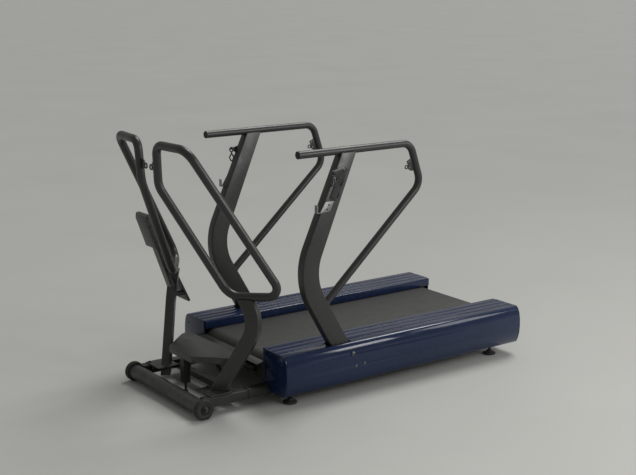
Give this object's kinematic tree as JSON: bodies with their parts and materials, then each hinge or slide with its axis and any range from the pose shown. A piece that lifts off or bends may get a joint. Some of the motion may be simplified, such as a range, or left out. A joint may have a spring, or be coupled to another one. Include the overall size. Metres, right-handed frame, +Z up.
{
  "type": "non-motorized treadmill",
  "caption": "Low belt deck driven by the runner's feet, with leaning handrails, tall push loops, a step platform and a wheeled front stand.",
  "frame": {"origin": "on the floor, under the middle of the whole object's box", "axes": "+X to the runner's left across the deck, +Y from the push loops at the front to the rear roller, +Z up"},
  "size_m": [1.0437, 2.0405, 1.3204],
  "materials": {
    "frame_paint": "satin charcoal powder coat",
    "navy_gloss": "glossy navy blue",
    "belt_rubber": "matte warm dark grey",
    "black_rubber": "matte black",
    "black_plastic": "satin black",
    "bright_steel": "bright zinc or brushed",
    "deck_board": "waxed board, out of sight",
    "cast_iron": "dark, out of sight"
  },
  "bodies": {
    "frame": {"frame_rail_left": "frame_paint", "frame_rail_right": "frame_paint", "handrail_upright_left": "frame_paint", "handrail_upright_right": "frame_paint", "handrail_left": "frame_paint", "handrail_right": "frame_paint", "push_loop_left": "frame_paint", "push_loop_right": "frame_paint", "stand_arm_left": "frame_paint", "stand_arm_right": "frame_paint", "stand_upright_left": "frame_paint", "stand_upright_right": "frame_paint", "tether_bracket_left": "frame_paint", "tether_bracket_right": "frame_paint", "frame_cross_front": "frame_paint", "frame_cross_rear": "frame_paint", "board_support_front": "frame_paint", "board_support_rear": "frame_paint", "stand_cross_tube": "frame_paint", "step_platform": "frame_paint", "platform_frame": "frame_paint", "nose_plate": "frame_paint", "console_bracket": "frame_paint", "side_cover_left": "navy_gloss", "side_cover_right": "navy_gloss", "front_end_cap_left": "navy_gloss", "front_end_cap_right": "navy_gloss", "rear_end_cap_left": "navy_gloss", "rear_end_cap_right": "navy_gloss", "running_belt": "belt_rubber", "handrail_cap_left": "black_rubber", "handrail_cap_right": "black_rubber", "drive_belt": "black_rubber", "arm_collar_left": "black_plastic", "arm_collar_right": "black_plastic", "console_panel": "black_plastic", "upright_bolts_left": "bright_steel", "upright_bolts_right": "bright_steel", "j_hook_left": "bright_steel", "j_hook_right": "bright_steel", "wheel_axle": "bright_steel", "deck_board": "deck_board", "front_bearing_left": "cast_iron", "front_bearing_right": "cast_iron", "rear_bearing_left": "cast_iron", "rear_bearing_right": "cast_iron", "brake_magnet": "cast_iron"},
    "front_roller": {"front_roller": "bright_steel"},
    "rear_roller": {"rear_roller": "bright_steel"},
    "flywheel": {"flywheel": "cast_iron"},
    "transport_wheel_left": {"transport_wheel_left": "black_rubber"},
    "transport_wheel_right": {"transport_wheel_right": "black_rubber"},
    "snap_hook_left": {"snap_hook_left": "bright_steel"},
    "snap_hook_right": {"snap_hook_right": "bright_steel"},
    "locking_pin_left": {"locking_pin_left": "black_plastic"},
    "locking_pin_right": {"locking_pin_right": "black_plastic"},
    "front_foot_left": {"front_foot_left": "black_rubber"},
    "front_foot_right": {"front_foot_right": "black_rubber"},
    "rear_foot_left": {"rear_foot_left": "black_rubber"},
    "rear_foot_right": {"rear_foot_right": "black_rubber"}
  },
  "joints": [
    {"name": "front_roller_spin", "type": "hinge", "parent": "frame", "child": "front_roller", "pos_m": [0, -0.4805, 0.1675], "axis": [1, 0, 0], "continuous": true},
    {"name": "rear_roller_spin", "type": "hinge", "parent": "frame", "child": "rear_roller", "pos_m": [0, 0.9495, 0.1675], "axis": [1, 0, 0], "continuous": true},
    {"name": "flywheel_spin", "type": "hinge", "parent": "frame", "child": "flywheel", "pos_m": [0.4185, -0.352, 0.1675], "axis": [1, 0, 0], "continuous": true},
    {"name": "transport_wheel_left_spin", "type": "hinge", "parent": "frame", "child": "transport_wheel_left", "pos_m": [0.337, -0.925, 0.05], "axis": [1, 0, 0], "continuous": true},
    {"name": "snap_hook_left_swing", "type": "hinge", "parent": "frame", "child": "snap_hook_left", "pos_m": [0.4626, -0.244, 1.143], "axis": [1, 0, 0], "range_deg": [-80, 80]},
    {"name": "locking_pin_left_pull", "type": "slide", "parent": "frame", "child": "locking_pin_left", "axis": [-1, 0, 0], "range_m": [0, 0.012], "stiffness_N_per_m": 300},
    {"name": "front_foot_left_turn", "type": "hinge", "parent": "frame", "child": "front_foot_left", "pos_m": [0.402, -0.46, 0], "axis": [0, 0, 1], "range_deg": [-720, 720]},
    {"name": "rear_foot_left_turn", "type": "hinge", "parent": "frame", "child": "rear_foot_left", "pos_m": [0.402, 0.88, 0], "axis": [0, 0, 1], "range_deg": [-720, 720]},
    {"name": "transport_wheel_right_spin", "type": "hinge", "parent": "frame", "child": "transport_wheel_right", "pos_m": [-0.337, -0.925, 0.05], "axis": [1, 0, 0], "continuous": true},
    {"name": "snap_hook_right_swing", "type": "hinge", "parent": "frame", "child": "snap_hook_right", "pos_m": [-0.4626, -0.244, 1.143], "axis": [1, 0, 0], "range_deg": [-80, 80]},
    {"name": "locking_pin_right_pull", "type": "slide", "parent": "frame", "child": "locking_pin_right", "axis": [1, 0, 0], "range_m": [0, 0.012], "stiffness_N_per_m": 300},
    {"name": "front_foot_right_turn", "type": "hinge", "parent": "frame", "child": "front_foot_right", "pos_m": [-0.402, -0.46, 0], "axis": [0, 0, 1], "range_deg": [-720, 720]},
    {"name": "rear_foot_right_turn", "type": "hinge", "parent": "frame", "child": "rear_foot_right", "pos_m": [-0.402, 0.88, 0], "axis": [0, 0, 1], "range_deg": [-720, 720]}
  ],
  "couplings": [
    {"joint": "rear_roller_spin", "follows": "front_roller_spin", "ratio": 1},
    {"joint": "flywheel_spin", "follows": "front_roller_spin", "ratio": 2.25}
  ]
}
